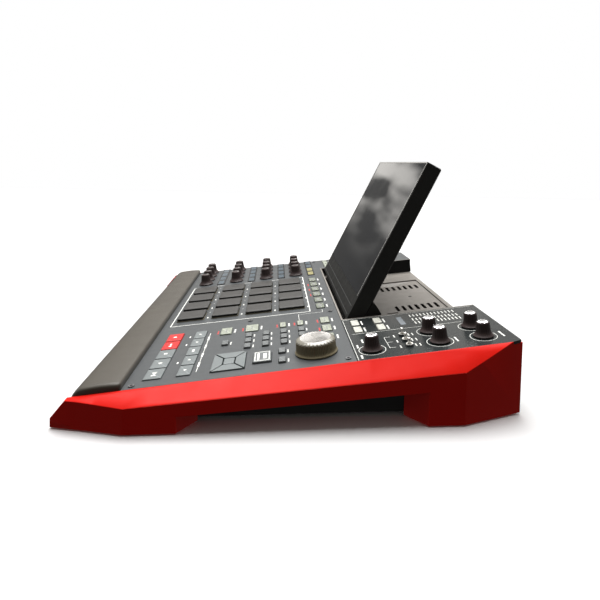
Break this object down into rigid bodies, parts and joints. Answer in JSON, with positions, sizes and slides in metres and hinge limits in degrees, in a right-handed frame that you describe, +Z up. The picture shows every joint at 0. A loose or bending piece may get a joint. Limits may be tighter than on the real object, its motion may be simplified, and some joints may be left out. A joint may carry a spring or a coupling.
{
  "type": "electronic drum pad controller",
  "caption": "Tabletop pad controller with a square pad grid, turn knobs, key groups, a data dial, a mixer corner and a folding screen, between two tapered side cheeks.",
  "frame": {"origin": "on the table, under the middle of the whole object's box", "axes": "+X to the player's right, +Y to the rear, +Z up"},
  "size_m": [0.5054, 0.424, 0.2388],
  "materials": {
    "case_black": "fine moulded grain",
    "panel_grey": "satin powder coat",
    "audio_blue_grey": "semi-gloss",
    "cheek_red": "satin paint over a moulding",
    "bay_grey": "satin paint over a moulding",
    "rest_soft": "fine leather grain, matt",
    "foot_rubber": "matt",
    "fastener_steel": "blackened",
    "strip_glass": "clear gloss over black",
    "board_green": "solder mask",
    "socket_metal": "plated",
    "dial_side": "ribbed, satin",
    "dial_metal": "spun and polished",
    "screen_black": "satin",
    "screen_glass": "gloss",
    "pad_rubber": "matt silicone",
    "knob_black": "soft touch, fluted",
    "toggle_chrome": "bright",
    "key_grey": "satin",
    "key_black": "satin",
    "key_pale": "translucent, lit from below"
  },
  "bodies": {
    "chassis": {"bottom_case": "case_black", "top_panel": "panel_grey", "audio_panel": "audio_blue_grey", "screen_well": "bay_grey", "right_cheek": "cheek_red", "left_cheek": "cheek_red", "wrist_rest": "rest_soft", "rubber_feet": "foot_rubber", "panel_fasteners": "fastener_steel", "display_strips": "strip_glass", "circuit_boards": "board_green", "rear_sockets": "socket_metal"},
    "screen": {"screen_frame": "screen_black", "screen_glass": "screen_glass", "screen_back_cover": "screen_black", "screen_hinge": "screen_black"},
    "dial": {"data_dial": "dial_side", "dial_cap": "dial_metal"},
    "toggles": {"toggle_levers": "toggle_chrome"},
    "transport": {"transport_keys": "key_grey"},
    "small_keys": {"small_keys": "key_black"},
    "pale_keys": {"pale_keys": "key_pale"},
    "cursor": {"cursor_keys": "key_black"},
    "pad_1": {"pad_1": "pad_rubber"},
    "pad_2": {"pad_2": "pad_rubber"},
    "pad_3": {"pad_3": "pad_rubber"},
    "pad_4": {"pad_4": "pad_rubber"},
    "pad_5": {"pad_5": "pad_rubber"},
    "pad_6": {"pad_6": "pad_rubber"},
    "pad_7": {"pad_7": "pad_rubber"},
    "pad_8": {"pad_8": "pad_rubber"},
    "pad_9": {"pad_9": "pad_rubber"},
    "pad_10": {"pad_10": "pad_rubber"},
    "pad_11": {"pad_11": "pad_rubber"},
    "pad_12": {"pad_12": "pad_rubber"},
    "pad_13": {"pad_13": "pad_rubber"},
    "pad_14": {"pad_14": "pad_rubber"},
    "pad_15": {"pad_15": "pad_rubber"},
    "pad_16": {"pad_16": "pad_rubber"},
    "encoder_1": {"encoder_1": "knob_black"},
    "encoder_2": {"encoder_2": "knob_black"},
    "encoder_3": {"encoder_3": "knob_black"},
    "encoder_4": {"encoder_4": "knob_black"},
    "encoder_5": {"encoder_5": "knob_black"},
    "encoder_6": {"encoder_6": "knob_black"},
    "encoder_7": {"encoder_7": "knob_black"},
    "encoder_8": {"encoder_8": "knob_black"},
    "encoder_9": {"encoder_9": "knob_black"},
    "encoder_10": {"encoder_10": "knob_black"},
    "encoder_11": {"encoder_11": "knob_black"},
    "encoder_12": {"encoder_12": "knob_black"},
    "encoder_13": {"encoder_13": "knob_black"},
    "encoder_14": {"encoder_14": "knob_black"},
    "encoder_15": {"encoder_15": "knob_black"},
    "encoder_16": {"encoder_16": "knob_black"},
    "level_knob_1": {"level_knob_1": "knob_black"},
    "level_knob_2": {"level_knob_2": "knob_black"},
    "level_knob_3": {"level_knob_3": "knob_black"},
    "level_knob_4": {"level_knob_4": "knob_black"},
    "level_knob_5": {"level_knob_5": "knob_black"}
  },
  "joints": [
    {"name": "screen_tilt", "type": "hinge", "parent": "chassis", "child": "screen", "pos_m": [-0.0265, 0.067, 0.0457], "axis": [1, 0, 0], "range_deg": [-57.4, 8]},
    {"name": "pad_1_press", "type": "slide", "parent": "chassis", "child": "pad_1", "axis": [0, 0.1104, -0.9939], "range_m": [0, 0.001], "stiffness_N_per_m": 800, "springref_m": -0.001},
    {"name": "pad_2_press", "type": "slide", "parent": "chassis", "child": "pad_2", "axis": [0, 0.1104, -0.9939], "range_m": [0, 0.001], "stiffness_N_per_m": 800, "springref_m": -0.001},
    {"name": "pad_3_press", "type": "slide", "parent": "chassis", "child": "pad_3", "axis": [0, 0.1104, -0.9939], "range_m": [0, 0.001], "stiffness_N_per_m": 800, "springref_m": -0.001},
    {"name": "pad_4_press", "type": "slide", "parent": "chassis", "child": "pad_4", "axis": [0, 0.1104, -0.9939], "range_m": [0, 0.001], "stiffness_N_per_m": 800, "springref_m": -0.001},
    {"name": "pad_5_press", "type": "slide", "parent": "chassis", "child": "pad_5", "axis": [0, 0.1104, -0.9939], "range_m": [0, 0.001], "stiffness_N_per_m": 800, "springref_m": -0.001},
    {"name": "pad_6_press", "type": "slide", "parent": "chassis", "child": "pad_6", "axis": [0, 0.1104, -0.9939], "range_m": [0, 0.001], "stiffness_N_per_m": 800, "springref_m": -0.001},
    {"name": "pad_7_press", "type": "slide", "parent": "chassis", "child": "pad_7", "axis": [0, 0.1104, -0.9939], "range_m": [0, 0.001], "stiffness_N_per_m": 800, "springref_m": -0.001},
    {"name": "pad_8_press", "type": "slide", "parent": "chassis", "child": "pad_8", "axis": [0, 0.1104, -0.9939], "range_m": [0, 0.001], "stiffness_N_per_m": 800, "springref_m": -0.001},
    {"name": "pad_9_press", "type": "slide", "parent": "chassis", "child": "pad_9", "axis": [0, 0.1104, -0.9939], "range_m": [0, 0.001], "stiffness_N_per_m": 800, "springref_m": -0.001},
    {"name": "pad_10_press", "type": "slide", "parent": "chassis", "child": "pad_10", "axis": [0, 0.1104, -0.9939], "range_m": [0, 0.001], "stiffness_N_per_m": 800, "springref_m": -0.001},
    {"name": "pad_11_press", "type": "slide", "parent": "chassis", "child": "pad_11", "axis": [0, 0.1104, -0.9939], "range_m": [0, 0.001], "stiffness_N_per_m": 800, "springref_m": -0.001},
    {"name": "pad_12_press", "type": "slide", "parent": "chassis", "child": "pad_12", "axis": [0, 0.1104, -0.9939], "range_m": [0, 0.001], "stiffness_N_per_m": 800, "springref_m": -0.001},
    {"name": "pad_13_press", "type": "slide", "parent": "chassis", "child": "pad_13", "axis": [0, 0.1104, -0.9939], "range_m": [0, 0.001], "stiffness_N_per_m": 800, "springref_m": -0.001},
    {"name": "pad_14_press", "type": "slide", "parent": "chassis", "child": "pad_14", "axis": [0, 0.1104, -0.9939], "range_m": [0, 0.001], "stiffness_N_per_m": 800, "springref_m": -0.001},
    {"name": "pad_15_press", "type": "slide", "parent": "chassis", "child": "pad_15", "axis": [0, 0.1104, -0.9939], "range_m": [0, 0.001], "stiffness_N_per_m": 800, "springref_m": -0.001},
    {"name": "pad_16_press", "type": "slide", "parent": "chassis", "child": "pad_16", "axis": [0, 0.1104, -0.9939], "range_m": [0, 0.001], "stiffness_N_per_m": 800, "springref_m": -0.001},
    {"name": "encoder_1_turn", "type": "hinge", "parent": "chassis", "child": "encoder_1", "pos_m": [-0.222, -0.1315, 0.03453], "axis": [0, -0.1104, 0.9939], "continuous": true},
    {"name": "encoder_2_turn", "type": "hinge", "parent": "chassis", "child": "encoder_2", "pos_m": [-0.194, -0.1315, 0.03453], "axis": [0, -0.1104, 0.9939], "continuous": true},
    {"name": "encoder_3_turn", "type": "hinge", "parent": "chassis", "child": "encoder_3", "pos_m": [-0.166, -0.1315, 0.03453], "axis": [0, -0.1104, 0.9939], "continuous": true},
    {"name": "encoder_4_turn", "type": "hinge", "parent": "chassis", "child": "encoder_4", "pos_m": [-0.138, -0.1315, 0.03453], "axis": [0, -0.1104, 0.9939], "continuous": true},
    {"name": "encoder_5_turn", "type": "hinge", "parent": "chassis", "child": "encoder_5", "pos_m": [-0.222, -0.0838, 0.03983], "axis": [0, -0.1104, 0.9939], "continuous": true},
    {"name": "encoder_6_turn", "type": "hinge", "parent": "chassis", "child": "encoder_6", "pos_m": [-0.194, -0.0838, 0.03983], "axis": [0, -0.1104, 0.9939], "continuous": true},
    {"name": "encoder_7_turn", "type": "hinge", "parent": "chassis", "child": "encoder_7", "pos_m": [-0.166, -0.0838, 0.03983], "axis": [0, -0.1104, 0.9939], "continuous": true},
    {"name": "encoder_8_turn", "type": "hinge", "parent": "chassis", "child": "encoder_8", "pos_m": [-0.138, -0.0838, 0.03983], "axis": [0, -0.1104, 0.9939], "continuous": true},
    {"name": "encoder_9_turn", "type": "hinge", "parent": "chassis", "child": "encoder_9", "pos_m": [-0.222, -0.0361, 0.04513], "axis": [0, -0.1104, 0.9939], "continuous": true},
    {"name": "encoder_10_turn", "type": "hinge", "parent": "chassis", "child": "encoder_10", "pos_m": [-0.194, -0.0361, 0.04513], "axis": [0, -0.1104, 0.9939], "continuous": true},
    {"name": "encoder_11_turn", "type": "hinge", "parent": "chassis", "child": "encoder_11", "pos_m": [-0.166, -0.0361, 0.04513], "axis": [0, -0.1104, 0.9939], "continuous": true},
    {"name": "encoder_12_turn", "type": "hinge", "parent": "chassis", "child": "encoder_12", "pos_m": [-0.138, -0.0361, 0.04513], "axis": [0, -0.1104, 0.9939], "continuous": true},
    {"name": "encoder_13_turn", "type": "hinge", "parent": "chassis", "child": "encoder_13", "pos_m": [-0.222, 0.0116, 0.05043], "axis": [0, -0.1104, 0.9939], "continuous": true},
    {"name": "encoder_14_turn", "type": "hinge", "parent": "chassis", "child": "encoder_14", "pos_m": [-0.194, 0.0116, 0.05043], "axis": [0, -0.1104, 0.9939], "continuous": true},
    {"name": "encoder_15_turn", "type": "hinge", "parent": "chassis", "child": "encoder_15", "pos_m": [-0.166, 0.0116, 0.05043], "axis": [0, -0.1104, 0.9939], "continuous": true},
    {"name": "encoder_16_turn", "type": "hinge", "parent": "chassis", "child": "encoder_16", "pos_m": [-0.138, 0.0116, 0.05043], "axis": [0, -0.1104, 0.9939], "continuous": true},
    {"name": "level_knob_1_turn", "type": "hinge", "parent": "chassis", "child": "level_knob_1", "pos_m": [0.214, 0.071, 0.05703], "axis": [0, -0.1104, 0.9939], "range_deg": [-150, 150]},
    {"name": "level_knob_2_turn", "type": "hinge", "parent": "chassis", "child": "level_knob_2", "pos_m": [0.214, 0.1375, 0.06442], "axis": [0, -0.1104, 0.9939], "range_deg": [-150, 150]},
    {"name": "level_knob_3_turn", "type": "hinge", "parent": "chassis", "child": "level_knob_3", "pos_m": [0.184, 0.136, 0.06425], "axis": [0, -0.1104, 0.9939], "range_deg": [-150, 150]},
    {"name": "level_knob_4_turn", "type": "hinge", "parent": "chassis", "child": "level_knob_4", "pos_m": [0.214, 0.181, 0.06925], "axis": [0, -0.1104, 0.9939], "range_deg": [-150, 150]},
    {"name": "level_knob_5_turn", "type": "hinge", "parent": "chassis", "child": "level_knob_5", "pos_m": [0.184, 0.18, 0.06914], "axis": [0, -0.1104, 0.9939], "range_deg": [-150, 150]},
    {"name": "dial_turn", "type": "hinge", "parent": "chassis", "child": "dial", "pos_m": [0.202, 0.0185, 0.05119], "axis": [0, -0.1104, 0.9939], "continuous": true},
    {"name": "toggles_flip", "type": "hinge", "parent": "chassis", "child": "toggles", "pos_m": [0.2005, 0.10722, 0.05904], "axis": [1, 0, 0], "range_deg": [-12, 12]},
    {"name": "transport_press", "type": "slide", "parent": "chassis", "child": "transport", "axis": [0, 0.1104, -0.9939], "range_m": [0, 0.0008], "stiffness_N_per_m": 800, "springref_m": -0.001},
    {"name": "small_keys_press", "type": "slide", "parent": "chassis", "child": "small_keys", "axis": [0, 0.1104, -0.9939], "range_m": [0, 0.0012], "stiffness_N_per_m": 800, "springref_m": -0.001},
    {"name": "pale_keys_press", "type": "slide", "parent": "chassis", "child": "pale_keys", "axis": [0, 0.1104, -0.9939], "range_m": [0, 0.0008], "stiffness_N_per_m": 800, "springref_m": -0.001},
    {"name": "cursor_press", "type": "slide", "parent": "chassis", "child": "cursor", "axis": [0, 0.1104, -0.9939], "range_m": [0, 0.0008], "stiffness_N_per_m": 800, "springref_m": -0.001}
  ]
}
